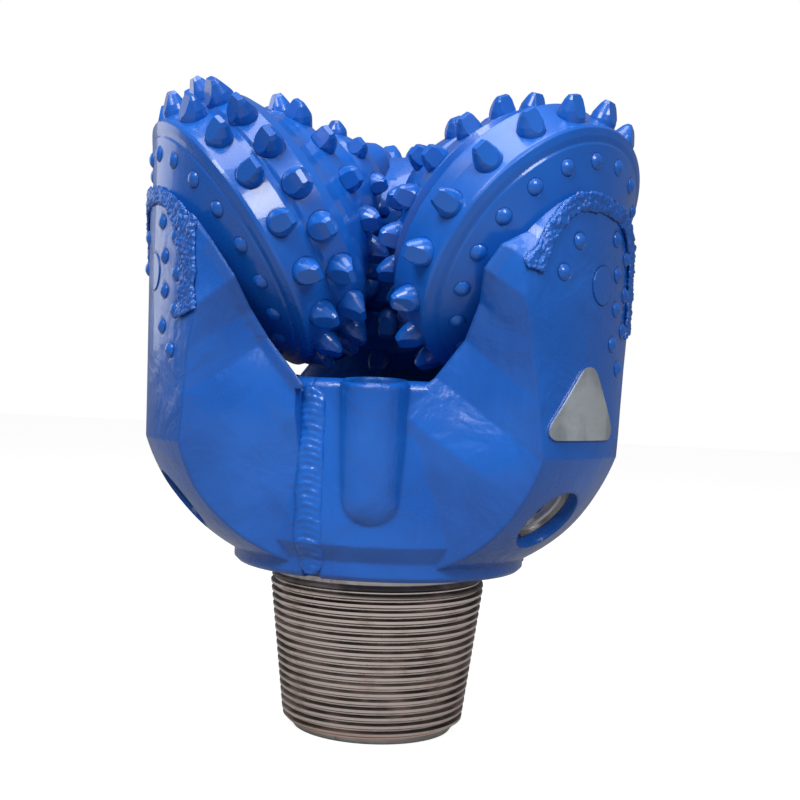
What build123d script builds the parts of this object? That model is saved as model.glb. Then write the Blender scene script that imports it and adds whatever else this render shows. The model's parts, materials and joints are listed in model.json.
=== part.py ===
from build123d import *
from math import atan2, cos, degrees, radians, sin
import os

# Tricone rotary drill bit, 15 1/2 inch, with tungsten carbide inserts.
# Millimetres. +Z runs from the pin's small end up to the cones, and the origin
# is the centre of the pin's small end. Each leg is drawn in its own frame, with
# +X pointing out through the leg and +Y round the bit, and is then turned about Z.

# ---- driving dimensions ------------------------------------------------------

GAUGE_R = 196.85            # bit gauge, 15 1/2 inch across

# pin, 7 5/8 REG rotary shouldered connection, drawn at the thread's root
PIN_LENGTH = 133.35
PIN_SMALL_R = 72.24
PIN_TAPER = 0.125           # change of radius per length
THREAD_DEPTH = 3.6
PIN_CHAMFER = 9.0
PIN_CHAMFER_R = 64.5
PIN_RELIEF_LENGTH = 9.0     # plain neck under the shoulder
WATER_BORE_R = 38.0
WATER_BORE_TOP = 156.0
PLENUM_R = 46.0
PLENUM_TOP = 214.0
PLENUM_CONE = 6.0

# collar and body
COLLAR_R = 117.2
COLLAR_BEVEL = 3.0
COLLAR_TOP = 147.5
BODY_R = 126.0
BODY_FROM = 160.0
CROTCH_Z = 281.0
CROTCH_ROUND = 8.0
CROTCH_CENTRE_Z = 275.0
LEG_FROM_DEG = -74.3        # weld seam on one side of a leg
LEG_COUNT = 3

# leg's outer surface
FACE_RELIEF = 3.85          # how far the face stands back from the gauge at its top
FACE_TAPER = 2.5            # and how much more at its foot
FACE_FOOT_Z = 230.0
FACE_TOP_Z = 380.0
DOME_FOOT_Z = 143.5
DOME_SWELL = 10.95          # how far the dome stands out from a straight line
FACE_CEILING = 440.0

# journal: where its axis meets the bit's plane, and its lean
JOURNAL_DEG = 34.0
JOURNAL_OFFSET = 8.0
JOURNAL_Z = 470.0
CONE_REACH = 196.85         # gauge that a cone cuts with its apex on the bit's axis
LEG_FACE_S = 190.5          # leg's machined face, along the journal from the bit's centre
SHIRTTAIL_R = 74.0
SHIRTTAIL_END_S = 262.0
LEG_CHAMFER = 7.5           # depth of the chamfer round the machined face
JOURNAL_R = 46.0
JOURNAL_ROOT_S = 200.0
JOURNAL_SHOULDER_S = 116.0
PILOT_R = 26.0
JOURNAL_TIP_S = 92.0
JOURNAL_CHAMFER = 2.0

# bearings and seal
RUN_GAP = 0.3               # running clearance
SEAT_GAP = 0.1              # clearance of what is pressed or held
BUSH_WALL = 5.4
BUSH_FROM_S = 142.0
BUSH_TO_S = 179.0
BALL_R = 9.5
BALL_COUNT = 13
BALL_S = 128.5
BALL_PITCH_R = 47.5
THRUST_WALL = 5.0
THRUST_R = 22.0
SEAL_FROM_S = 181.5
SEAL_TO_S = 187.0
SEAL_WALL = 6.0

# ball loading hole and its plug
PLUG_T = 3.7
PLUG_E = 13.2
PLUG_INNER_E = -35.0
PLUG_HEAD_R = 14.0
PLUG_HEAD_DEPTH = 11.0
PLUG_PROUD = 0.8
PLUG_OUTER_S = 225.0

# cones
CONE_BACK_S = 189.5
CONE_BACK_R = 65.6
HEEL_TOP_S = 164.0
HEEL_TOP_R = 106.2
HEEL_GROOVE_S = 168.5
HEEL_GROOVE = 1.6

# jets
JET_DEG = -53.0
JET_AXIS_R = 117.0
JET_LEAN_DEG = 14.0
JET_SIDE_DEG = 5.0           # lean away from the leg's own cone
JET_BOSS_R = 26.0
JET_BOSS_LEAN_DEG = 5.0
JET_BOSS_LENGTH = 112.0
JET_POCKET_R = 20.5
JET_POCKET_DEPTH = 44.0
JET_PASSAGE_R = 13.0
JET_PASSAGE_END = 100.0
JET_FEED_R = 12.0
JET_THROAT_R = 7.0
JET_MOUTH_R = 12.0
JET_LENGTH = 30.0
JET_RECESS = 9.0
JET_SKIRT_R = 17.0
RETAINER_LENGTH = 14.0
O_RING_R = 1.7

# grease reservoir
RES_AXIS_R = 163.2
RES_AXIS_Z = 181.0
RES_LEAN_DEG = 41.0
RES_R = 28.3
RES_DEPTH = 47.0
RES_CAP_DEPTH = 14.0
RES_CAP_THICK = 7.0
RES_HEX = 6.0
RES_CUP_WALL = 1.8
DIAPHRAGM_WALL = 1.6
SNAP_RING_WIRE = 2.4
LUBE_R = 3.2
LUBE_TO_S = 195.0

# weld seams, hardfacing and shirttail buttons
SEAM_WIDTH = 14.0
SEAM_CAP_DEG = 5.6
SEAM_DEPTH_R = 108.0
SEAM_PROUD = 2.2
SEAM_TOP = 272.0
HARDFACE_CROWN = 6.0
HARDFACE_THICK = 2.4
HARDFACE_R = 61.0           # inner edge, round a point beside the journal's axis
HARDFACE_SHIFT = -4.0
HARDFACE_LOW_E = -22.0      # where it ends on the long side
HARDFACE_HIGH_E = 12.0      # and on the short side
HARDFACE_GAP = 0.15
BUTTON_R = 5.8
BUTTON_GRIP = 7.0
BUTTON_PROUD = 3.2

# legs round the bit, in degrees from +X, and the cone each one carries
LEG_TURN = {"right": -30.0, "back": 90.0, "left": 210.0}

# Leg forging's section across the journal: round the bit, then towards the crown.
# It is given at the machined face, under its chamfer, at MID_S and at OUTER_S.
MID_S = 218.0
OUTER_S = 300.0
FOOT_E = -245.0
FLANK = [
    ((-66, 30), (-66, 30), (-66, 30), (-62, 28)),
    ((-88, 16), (-82, 16), (-75, 14), (-66, 8)),
    ((-92, -4), (-86, -5), (-77, -6), (-64, -10)),
    ((-75, -31), (-73, -31), (-70, -32), (-60, -36)),
    ((-67, -62), (-66, -62), (-64, -62), (-56, -64)),
    ((-76, -96), (-73, -96), (-67, -96), (-50, -98)),
    ((-98, -124), (-94, -126), (-84, -128), (-50, -132)),
    ((-98, FOOT_E), (-94, FOOT_E), (-84, FOOT_E), (-50, FOOT_E)),
    ((98, FOOT_E), (90, FOOT_E), (78, FOOT_E), (46, FOOT_E)),
    ((98, -118), (90, -120), (78, -124), (46, -132)),
    ((90, -96), (80, -97), (73, -98), (52, -98)),
    ((76, -68), (68, -69), (66, -70), (57, -70)),
    ((75, -43), (69, -44), (68, -44), (60, -46)),
    ((85, -17), (80, -18), (76, -20), (63, -22)),
    ((81, 14), (76, 12), (66, 8), (57, 6)),
    ((72, 36), (68, 35), (61, 33), (51, 30)),
]

# Shirttail buttons: distance round the leg's face and height.
SHIRTTAIL_BUTTONS = [
    (31, 391), (37, 365.5), (38, 340), (34, 314),
    (56, 379), (58.5, 352), (57, 325.5), (50, 296.5),
    (-21.5, 384), (-36, 361),
]

# ---- derived -----------------------------------------------------------------

LEG_TO_DEG = LEG_FROM_DEG + 360.0 / LEG_COUNT
FACE_TOP_R = GAUGE_R - FACE_RELIEF
FACE_FOOT_R = FACE_TOP_R - FACE_TAPER
APEX_OUT = (GAUGE_R - CONE_REACH) / cos(radians(JOURNAL_DEG))
JOURNAL = Plane(
    origin=(APEX_OUT * cos(radians(JOURNAL_DEG)), JOURNAL_OFFSET,
            JOURNAL_Z - APEX_OUT * sin(radians(JOURNAL_DEG))),
    x_dir=(0, 1, 0),
    z_dir=(cos(radians(JOURNAL_DEG)), 0, -sin(radians(JOURNAL_DEG))),
)
BUSH_R = JOURNAL_R + RUN_GAP + BUSH_WALL
RACE_R = BALL_R + RUN_GAP


def face_r(z):
    """Radius of the leg's face at a height."""
    return FACE_FOOT_R + FACE_TAPER * (z - FACE_FOOT_Z) / (FACE_TOP_Z - FACE_FOOT_Z)


def heel_r(along):
    """Radius of a cone's heel at a place along the journal."""
    slope = (HEEL_TOP_R - CONE_BACK_R) / (CONE_BACK_S - HEEL_TOP_S)
    return CONE_BACK_R + slope * (CONE_BACK_S - along)


def polar(rho, angle):
    """A cone profile point by its distance from the apex and angle from the axis."""
    return (rho * cos(radians(angle)), rho * sin(radians(angle)))


# Cone shells from the gauge to the nose, as (along the journal, radius), and the
# rows of inserts: (name, place, lean to the nose, stand-out, radius, count).
CONES = {
    "left": {
        "profile": [(161.5, 107), (139, 104.5), (134, 103), (131, 105), (112, 104.5),
                    (104, 98), polar(127, 41.8), polar(115, 41.5), polar(110, 41.9),
                    polar(96, 41.5), polar(93, 37), polar(66, 36), polar(62, 37.5),
                    polar(50, 37.5), polar(38, 33), (18, 12), (15, 8), (15, 0)],
        "rows": [("gauge", (148, 105.8), 15, 16, 10, 17),
                 ("second", (122.5, 105), 0, 17, 11, 19),
                 ("third", polar(102, 41.8), 16, 15, 10, 13),
                 ("nose", polar(56, 37.6), 24, 10, 8.5, 7)],
    },
    "right": {
        "profile": [(161.5, 107), (139, 105.5), (127, 105.5), polar(153, 37),
                    polar(149, 37), polar(147, 40.2), polar(124, 40.2), polar(121, 36.5),
                    polar(94, 36), polar(90, 38), polar(72, 38.5), polar(64, 36),
                    polar(61, 33), (51, 0)],
        "rows": [("gauge", (148, 105.8), 15, 16, 10, 17),
                 ("second", polar(132.5, 40), 14, 15, 10, 17),
                 ("nose", polar(80, 38.4), 16, 13, 10, 9)],
    },
    "back": {
        "profile": [(161.5, 107), (140, 104.5), (136, 103), polar(164, 36),
                    polar(161, 36), polar(157.5, 40.3), polar(138, 40.2), polar(136, 37),
                    polar(130, 37), polar(128, 40), polar(110, 40), polar(107, 36),
                    polar(80, 35.5), polar(77, 37), polar(62, 37.3), polar(53, 33),
                    (38, 0)],
        "rows": [("gauge", (148, 105.8), 15, 16, 10, 17),
                 ("second", polar(146.5, 40.2), 8, 14.5, 9.5, 18),
                 ("third", polar(117, 40), 12, 14, 10, 14),
                 ("nose", polar(68, 37.2), 18, 11, 9, 8)],
    },
}
INSERT_GRIP = 13.0
HEEL_ROW_S = 176.5
HEEL_BUTTON_R = 6.0
HEEL_BUTTON_PROUD = 3.0
HEEL_BUTTON_GRIP = 9.0
HEEL_BUTTON_COUNT = 18


# ---- helpers -----------------------------------------------------------------

def turned(points, start=0.0, angle=360.0):
    """Solid turned about Z from (radius, height) points."""
    face = make_face(Polyline(*[(r, 0, z) for r, z in points], close=True))
    return Rot(0, 0, start) * revolve(face, Axis.Z, angle)


def on_journal(solid):
    """Places a solid drawn along +Z onto the journal's axis."""
    return JOURNAL.location * solid


def in_leg(name, solid):
    """Turns a solid from the leg's frame to its place round the bit."""
    return Rot(0, 0, LEG_TURN[name]) * solid


def rod(radius, start, end):
    """Cylinder between two points."""
    a = Vector(*start)
    b = Vector(*end)
    return Plane(origin=a, z_dir=b - a).location * Pos(0, 0, (b - a).length / 2) * Cylinder(
        radius, (b - a).length)


def ball_race():
    """Ring swept by the bearing balls with their running clearance."""
    circle = Pos(BALL_PITCH_R, 0, BALL_S) * Rot(90, 0, 0) * Circle(RACE_R)
    return revolve(circle, Axis.Z)


def leg_envelope(grow=0.0):
    """Everything inside the leg's outer face and dome."""
    foot = Vector(COLLAR_R, 0, DOME_FOOT_Z)
    brow = Vector(FACE_FOOT_R + grow, 0, FACE_FOOT_Z)
    chord = brow - foot
    middle = foot + chord / 2 + Vector(chord.Z, 0, -chord.X).normalized() * DOME_SWELL
    outline = Polyline(
        brow, (face_r(FACE_CEILING) + grow, 0, FACE_CEILING), (0, 0, FACE_CEILING),
        (0, 0, DOME_FOOT_Z), foot)
    dome = ThreePointArc(foot, middle, brow)
    return revolve(make_face([outline, dome]), Axis.Z)


def leg_section(index, along):
    """Leg forging's outline across the journal at one place along it."""
    return Pos(0, 0, along) * make_face(Polyline(*[row[index] for row in FLANK], close=True))


def arm_block():
    """Leg arm before its outer face is turned."""
    places = (LEG_FACE_S, LEG_FACE_S + LEG_CHAMFER, MID_S, OUTER_S)
    wedge = loft([leg_section(k, place) for k, place in enumerate(places)], ruled=True)
    shirttail = Pos(0, 0, LEG_FACE_S) * extrude(Circle(SHIRTTAIL_R), SHIRTTAIL_END_S - LEG_FACE_S)
    return on_journal(wedge + shirttail)


def other_legs_room():
    """The room of the two other legs below the crotch."""
    profile = [(0, 0), (2 * GAUGE_R, 0), (2 * GAUGE_R, CROTCH_Z), (0, CROTCH_Z)]
    return turned(profile, LEG_TO_DEG, 360.0 - (LEG_TO_DEG - LEG_FROM_DEG))


def water_way():
    """Water bore and the plenum over it."""
    return turned([
        (0, -1), (WATER_BORE_R, -1), (WATER_BORE_R, WATER_BORE_TOP),
        (PLENUM_R, WATER_BORE_TOP + PLENUM_R - WATER_BORE_R),
        (PLENUM_R, PLENUM_TOP - PLENUM_CONE), (PLENUM_R - PLENUM_CONE, PLENUM_TOP),
        (0, PLENUM_TOP)])


def body_sector():
    """A third of the pin, the collar and the body under the cones."""
    pin_neck_z = PIN_LENGTH - PIN_RELIEF_LENGTH
    pin_root = PIN_SMALL_R - THREAD_DEPTH
    round_z = CROTCH_Z - CROTCH_ROUND
    round_r = BODY_R - CROTCH_ROUND
    side = Polyline(
        (0, 0, CROTCH_CENTRE_Z), (0, 0, 0), (PIN_CHAMFER_R, 0, 0),
        (pin_root + PIN_TAPER * PIN_CHAMFER, 0, PIN_CHAMFER),
        (pin_root + PIN_TAPER * pin_neck_z, 0, pin_neck_z),
        (pin_root + PIN_TAPER * pin_neck_z, 0, PIN_LENGTH),
        (COLLAR_R - COLLAR_BEVEL, 0, PIN_LENGTH), (COLLAR_R, 0, PIN_LENGTH + COLLAR_BEVEL),
        (COLLAR_R, 0, COLLAR_TOP), (BODY_R, 0, BODY_FROM), (BODY_R, 0, round_z))
    diagonal = CROTCH_ROUND * sin(radians(45))
    brow = ThreePointArc((BODY_R, 0, round_z), (round_r + diagonal, 0, round_z + diagonal),
                         (round_r, 0, CROTCH_Z))
    top = Polyline((round_r, 0, CROTCH_Z), (round_r - 2 * CROTCH_ROUND, 0, CROTCH_Z),
                   (0, 0, CROTCH_CENTRE_Z))
    face = make_face([side, brow, top])
    return Rot(0, 0, LEG_FROM_DEG) * revolve(face, Axis.Z, LEG_TO_DEG - LEG_FROM_DEG)


def journal():
    """Journal, ball race and pilot pin, along +Z."""
    c = JOURNAL_CHAMFER
    profile = [
        (0, JOURNAL_TIP_S), (PILOT_R - c, JOURNAL_TIP_S), (PILOT_R, JOURNAL_TIP_S + c),
        (PILOT_R, JOURNAL_SHOULDER_S), (JOURNAL_R - c, JOURNAL_SHOULDER_S),
        (JOURNAL_R, JOURNAL_SHOULDER_S + c), (JOURNAL_R, JOURNAL_ROOT_S), (0, JOURNAL_ROOT_S),
    ]
    return turned(profile) - ball_race()


# ---- jet, in a frame whose +Z leaves the nozzle --------------------------------

def jet_place():
    """Frame of the jet: origin in the boss's top face, +Z leaving it."""
    turn = Rot(0, 0, JET_DEG) * Pos(JET_AXIS_R, 0, CROTCH_Z)
    return turn * Rot(JET_SIDE_DEG, 0, 0) * Rot(0, JET_LEAN_DEG, 0)


def jet_boss():
    """Round bulge that carries the jet, with a rounded foot and a bevelled mouth."""
    r = JET_BOSS_R
    lean = Rot(0, 0, JET_DEG) * Pos(JET_AXIS_R, 0, CROTCH_Z) * Rot(0, JET_BOSS_LEAN_DEG, 0)
    length = JET_BOSS_LENGTH
    profile = [Polyline((0, 0, -length), (0, 0, 0), (r - 3, 0, 0), (r, 0, -3), (r, 0, r - length)),
               ThreePointArc((r, 0, r - length), (r * sin(radians(45)), 0,
                                                 r - length - r * sin(radians(45))),
                             (0, 0, -length))]
    return lean * revolve(make_face(profile), Axis.Z)


def jet_cuts():
    """Nozzle pocket, its passage and the feed from the water bore."""
    bevel = 1.5
    pocket = turned([
        (0, -JET_PASSAGE_END), (JET_PASSAGE_R, -JET_PASSAGE_END),
        (JET_PASSAGE_R, -JET_POCKET_DEPTH), (JET_POCKET_R, -JET_POCKET_DEPTH),
        (JET_POCKET_R, -bevel), (JET_POCKET_R + 2 * bevel, bevel),
        (JET_POCKET_R + 2 * bevel, JET_POCKET_R), (0, JET_POCKET_R)])
    inner = (jet_place() * Pos(0, 0, -JET_PASSAGE_END + JET_PASSAGE_R)).position
    near = PLENUM_R - 30
    start = Vector(near * cos(radians(JET_DEG)), near * sin(radians(JET_DEG)), PLENUM_TOP - 38)
    return [jet_place() * pocket, rod(JET_FEED_R, start, inner)]


def jet_nozzle():
    """Carbide nozzle: skirt, flared entry and straight throat."""
    top = -JET_RECESS
    foot = top - JET_LENGTH
    r = JET_POCKET_R - SEAT_GAP
    shelf = top - RETAINER_LENGTH
    return jet_place() * turned([
        (JET_THROAT_R, top), (JET_SKIRT_R, top), (JET_SKIRT_R, shelf), (r, shelf),
        (r, foot + 6), (r - 2 * O_RING_R, foot + 6), (r - 2 * O_RING_R, foot + 2), (r, foot + 2),
        (r, foot), (JET_MOUTH_R, foot), (JET_MOUTH_R - 2, foot + 8), (JET_THROAT_R, foot + 14)])


def jet_retainer():
    """Ring screwed in over the nozzle's shelf, with four spanner slots."""
    top = -JET_RECESS + 1
    shelf = -JET_RECESS - RETAINER_LENGTH
    r = JET_POCKET_R - SEAT_GAP
    ring = turned([(JET_SKIRT_R + SEAT_GAP, shelf), (r, shelf), (r, top - 1.2), (r - 1.2, top),
                   (JET_SKIRT_R + SEAT_GAP, top)])
    for k in range(4):
        slot = Rot(0, 0, 90 * k) * Pos(JET_POCKET_R - 1.5, 0, top) * Box(4, 4, 6)
        ring = ring - slot
    return jet_place() * ring


def jet_o_ring():
    """Seal round the nozzle's foot."""
    z = -JET_RECESS - JET_LENGTH + 4
    r = JET_POCKET_R - SEAT_GAP - O_RING_R
    return jet_place() * Pos(0, 0, z) * Torus(r - 0.1, O_RING_R - 0.1)


def jet_sleeve():
    """Seat ring under the nozzle, down to the pocket's floor."""
    top = -JET_RECESS - JET_LENGTH
    r = JET_POCKET_R - SEAT_GAP
    return jet_place() * turned([(JET_PASSAGE_R, -JET_POCKET_DEPTH), (r, -JET_POCKET_DEPTH),
                                 (r, top), (JET_PASSAGE_R, top)])


# ---- grease reservoir, in a frame whose +Z leaves the dome ---------------------

def reservoir_place():
    """Frame of the reservoir: origin on the dome, +Z leaving it."""
    return Pos(RES_AXIS_R, 0, RES_AXIS_Z) * Rot(0, 90 + RES_LEAN_DEG, 0)


def reservoir_cuts():
    """Reservoir pocket with its snap ring groove, and the grease way to the ball hole."""
    groove = -RES_CAP_DEPTH + SNAP_RING_WIRE + SEAT_GAP
    pocket = turned([(0, -RES_DEPTH), (RES_R, -RES_DEPTH), (RES_R, -RES_CAP_DEPTH),
                     (RES_R + SNAP_RING_WIRE / 2, -RES_CAP_DEPTH),
                     (RES_R + SNAP_RING_WIRE / 2, groove), (RES_R, groove), (RES_R, 12), (0, 12)])
    start = (reservoir_place() * Pos(0, 0, -RES_DEPTH + 2)).position
    end = JOURNAL.from_local_coords(Vector(PLUG_T, PLUG_E - 12, LUBE_TO_S))
    return [reservoir_place() * pocket, rod(LUBE_R, start, end)]


def reservoir_cap():
    """Cap of the grease reservoir with a hexagonal vent."""
    r = RES_R - SEAT_GAP
    z = -RES_CAP_DEPTH - RES_CAP_THICK
    cap = turned([(0, z), (r, z), (r, -RES_CAP_DEPTH), (r - 5, -RES_CAP_DEPTH),
                  (r - 6.5, -RES_CAP_DEPTH - 1.5), (RES_HEX + 4, -RES_CAP_DEPTH - 1.5),
                  (RES_HEX + 2.5, -RES_CAP_DEPTH), (0, -RES_CAP_DEPTH)])
    key = Pos(0, 0, z + 2) * extrude(RegularPolygon(RES_HEX, 6), RES_CAP_THICK)
    vent = Pos(0, 0, z) * Cylinder(1.2, 3 * RES_CAP_THICK)
    return reservoir_place() * (cap - key - vent)


def reservoir_snap_ring():
    """Open ring that holds the cap."""
    w = SNAP_RING_WIRE
    outer = RES_R + w / 2 - SEAT_GAP
    ring = turned([(outer - w, -RES_CAP_DEPTH), (outer, -RES_CAP_DEPTH),
                   (outer, -RES_CAP_DEPTH + w), (outer - w, -RES_CAP_DEPTH + w)], 8, 344)
    return reservoir_place() * ring


def reservoir_cup():
    """Steel cup that lines the pocket."""
    r = RES_R - SEAT_GAP
    w = RES_CUP_WALL
    z = -RES_CAP_DEPTH - RES_CAP_THICK
    cup = turned([(4, -RES_DEPTH), (r, -RES_DEPTH), (r, z), (r - w, z),
                  (r - w, -RES_DEPTH + w), (4, -RES_DEPTH + w)])
    return reservoir_place() * cup


def reservoir_diaphragm():
    """Rubber diaphragm inside the cup."""
    r = RES_R - RES_CUP_WALL - 2 * SEAT_GAP
    w = DIAPHRAGM_WALL
    z = -RES_CAP_DEPTH - RES_CAP_THICK
    foot = -RES_DEPTH + RES_CUP_WALL + 6
    skin = turned([(0, foot), (r - 8, foot), (r, foot + 10), (r, z), (r - w, z),
                   (r - w, foot + 10 + w), (r - 8 - w, foot + w), (0, foot + w)])
    return reservoir_place() * skin


# ---- ball plug -----------------------------------------------------------------

def plug_ends():
    """Ball hole's ends, outside the leg and in the race, in the leg's frame."""
    outer = JOURNAL.from_local_coords(Vector(PLUG_T, PLUG_E, PLUG_OUTER_S))
    inner = JOURNAL.from_local_coords(Vector(0, PLUG_INNER_E, BALL_S))
    return outer, inner


def ball_hole(clearance):
    """Ball hole with its wider mouth; a negative clearance gives the plug."""
    outer, inner = plug_ends()
    along = (inner - outer).normalized()
    shaft = rod(BALL_R + 0.9 + clearance, outer - along * 20, inner)
    head = rod(PLUG_HEAD_R + clearance, outer - along * 20, outer + along * PLUG_HEAD_DEPTH)
    return shaft + head


# ---- leg and what is fixed to it ----------------------------------------------

def seam_box(width, front, foot, top):
    """Upright block on the seam between two legs, in the first leg's frame."""
    depth = front - SEAM_DEPTH_R
    place = Rot(0, 0, LEG_FROM_DEG) * Pos(SEAM_DEPTH_R + depth / 2, 0, (foot + top) / 2)
    return place * Box(depth, width, top - foot)


def button_frames():
    """Places of the shirttail buttons on the leg's face, +Z leaving it."""
    frames = []
    for round_face, height in SHIRTTAIL_BUTTONS:
        angle = degrees(round_face / FACE_TOP_R)
        frames.append(Rot(0, 0, angle) * Pos(face_r(height), 0, height) * Rot(0, 90, 0))
    return frames


def leg(arm):
    """One leg forging with its third of the body and its journal."""
    solid = arm & leg_envelope()
    solid = solid - other_legs_room()
    solid = body_sector() + solid + jet_boss() + on_journal(journal())
    cuts = [water_way()] + jet_cuts() + reservoir_cuts() + [ball_hole(0)]
    for turn in (0, 360 / LEG_COUNT):
        cuts.append(Rot(0, 0, turn) * seam_box(SEAM_WIDTH, 2 * BODY_R, PIN_LENGTH - 1, SEAM_TOP))
    for frame in button_frames():
        cuts.append(frame * Pos(0, 0, -BUTTON_GRIP / 2 + 5) * Cylinder(BUTTON_R + SEAT_GAP,
                                                                      BUTTON_GRIP + 10))
    return solid - cuts


def ball_plug():
    """Plug that keeps the balls in, hollowed to the race and a little proud outside."""
    plug = ball_hole(-SEAT_GAP) - on_journal(ball_race())
    return plug & leg_envelope(PLUG_PROUD)


def domed(radius, grip, proud):
    """Domed carbide button, +Z leaving the steel."""
    edge = 0.3
    rise = proud - edge
    ball = (radius ** 2 + rise ** 2) / (2 * rise)
    crown = Pos(0, 0, proud - ball) * Sphere(ball)
    stem = Pos(0, 0, (proud - grip) / 2) * Cylinder(radius, grip + proud)
    return stem & crown + Pos(0, 0, -grip / 2) * Cylinder(radius, grip)


def shirttail_buttons():
    """Carbide buttons set in the leg's face."""
    button = domed(BUTTON_R, BUTTON_GRIP, BUTTON_PROUD)
    return Compound([frame * button for frame in button_frames()])


def hardfacing(arm):
    """Bead of hard metal along the shirttail's rim."""
    skin = leg_envelope(HARDFACE_GAP + HARDFACE_THICK) - leg_envelope(HARDFACE_GAP)
    reach = SHIRTTAIL_R + 60
    depth = SHIRTTAIL_END_S - LEG_FACE_S
    long_side = Pos(0, HARDFACE_LOW_E) * Rectangle(reach, reach, align=(Align.MIN, Align.MIN))
    short_side = Pos(0, HARDFACE_HIGH_E) * Rectangle(reach, reach, align=(Align.MAX, Align.MIN))
    region = extrude(long_side + short_side, depth)
    hollow = extrude(Pos(HARDFACE_SHIFT, 0) * Circle(HARDFACE_R), depth)
    hollow = Pos(0, 0, HARDFACE_CROWN) * hollow
    band = on_journal(Pos(0, 0, LEG_FACE_S) * (region - hollow))
    room = Cylinder(BUTTON_R + 2 * SEAT_GAP, 4 * BUTTON_GRIP)
    return (arm & skin & band) - [frame * room for frame in button_frames()]


def seam_weld(arm):
    """Weld that fills the groove between two legs and laps over the edges that are flush."""
    fill = seam_box(SEAM_WIDTH, 2 * BODY_R, PIN_LENGTH, SEAM_TOP)
    lap = SEAM_PROUD
    gap = SEAT_GAP

    def shell(grow, trim):
        """Turned body under or over the weld."""
        return turned([(0, PIN_LENGTH + trim), (COLLAR_R + grow, PIN_LENGTH + trim),
                       (COLLAR_R + grow, COLLAR_TOP), (BODY_R + grow, BODY_FROM),
                       (BODY_R + grow, SEAM_TOP - trim), (0, SEAM_TOP - trim)],
                      LEG_FROM_DEG - SEAM_CAP_DEG, 2 * SEAM_CAP_DEG)

    groove = seam_box(SEAM_WIDTH, 2 * BODY_R, PIN_LENGTH - 1, SEAM_TOP)
    flank = Rot(0, 0, -360 / LEG_COUNT) * (arm & leg_envelope(gap)) - groove
    cap = shell(lap, COLLAR_BEVEL) - shell(gap, 0) - flank
    return (fill & shell(gap, 0)) + cap


# ---- cones ----------------------------------------------------------------------

def cone_bore():
    """Room inside a cone for its bearings, along +Z."""
    c = JOURNAL_CHAMFER
    bush = BUSH_R + SEAT_GAP
    pilot = PILOT_R + RUN_GAP
    shoulder = JOURNAL_SHOULDER_S - RUN_GAP
    floor = JOURNAL_TIP_S - RUN_GAP
    thrust = floor - THRUST_WALL
    bore = turned([
        (0, thrust), (THRUST_R, thrust), (THRUST_R, floor - 0.5), (pilot, floor - 0.5),
        (pilot, shoulder - c), (pilot + c, shoulder), (JOURNAL_R + RUN_GAP, shoulder),
        (JOURNAL_R + RUN_GAP, BUSH_FROM_S), (bush, BUSH_FROM_S), (bush, BUSH_TO_S),
        (JOURNAL_R + RUN_GAP + 2, BUSH_TO_S), (JOURNAL_R + RUN_GAP + 2, SEAL_FROM_S),
        (JOURNAL_R + SEAL_WALL + RUN_GAP, SEAL_FROM_S), (JOURNAL_R + SEAL_WALL + RUN_GAP, SEAL_TO_S),
        (JOURNAL_R + RUN_GAP + 2, SEAL_TO_S), (JOURNAL_R + RUN_GAP + 2, CONE_BACK_S + 2),
        (0, CONE_BACK_S + 2)])
    return bore + ball_race()


def insert_frames(row, phase):
    """Places of a row, leaning to the nose by its angle."""
    name, place, lean, proud, radius, count = row
    along, reach = place
    frames = []
    for k in range(count):
        turn = Rot(0, 0, phase + 360.0 * k / count)
        frames.append(turn * Pos(reach, 0, along) * Rot(0, 90 + lean, 0))
    return frames


def insert(proud, radius):
    """Chisel-crested carbide insert, +Z leaving the steel."""
    neck = 0.10 * proud
    crest = 0.46 * radius
    bullet = turned([(0, -INSERT_GRIP), (radius - 1, -INSERT_GRIP), (radius, -INSERT_GRIP + 1),
                     (radius, neck), (0.93 * radius, 0.36 * proud),
                     (0.66 * radius, 0.82 * proud), (crest, proud), (0, proud)])
    edge = 0.20 * radius
    for side in (-1, 1):
        flat = extrude(make_face(Polyline(
            (side * edge, proud + 1), (side * 2 * radius, proud + 1),
            (side * 2 * radius, neck), (side * 0.98 * radius, neck),
            (side * edge, proud), close=True)), 2 * radius, both=True)
        bullet = bullet - Rot(90, 0, 0) * flat
    return bullet


def heel_frames():
    """Places of the heel buttons, square to the heel's face."""
    slope = degrees(atan2(HEEL_TOP_R - CONE_BACK_R, CONE_BACK_S - HEEL_TOP_S))
    place = Pos(heel_r(HEEL_ROW_S), 0, HEEL_ROW_S) * Rot(0, 90 - slope, 0)
    count = HEEL_BUTTON_COUNT
    return [Rot(0, 0, 360.0 * k / count) * place for k in range(count)]


def cone_shell(name):
    """Cone of one leg, bored for its bearings and drilled for its inserts."""
    g = HEEL_GROOVE
    lip = HEEL_GROOVE_S + g
    heel = [(JOURNAL_R, CONE_BACK_S), (CONE_BACK_R, CONE_BACK_S), (heel_r(lip), lip),
            (heel_r(HEEL_GROOVE_S) - g, HEEL_GROOVE_S), (heel_r(HEEL_GROOVE_S - g), HEEL_GROOVE_S - g),
            (HEEL_TOP_R, HEEL_TOP_S)]
    body = [(r, s) for s, r in CONES[name]["profile"]]
    shell = turned([(0, CONE_BACK_S)] + heel + body) - cone_bore()
    holes = []
    for index, row in enumerate(CONES[name]["rows"]):
        radius = row[4] + SEAT_GAP
        hole = Pos(0, 0, -INSERT_GRIP / 2 + 5) * Cylinder(radius, INSERT_GRIP + 10)
        holes += [frame * hole for frame in insert_frames(row, row_phase(index, row))]
    grip = HEEL_BUTTON_GRIP
    button = Pos(0, 0, -grip / 2 + 4) * Cylinder(HEEL_BUTTON_R + SEAT_GAP, grip + 8)
    holes += [frame * button for frame in heel_frames()]
    return shell - holes


def row_phase(index, row):
    """Staggers each row against the one before it."""
    return 180.0 / row[5] if index % 2 else 0.0


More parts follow.
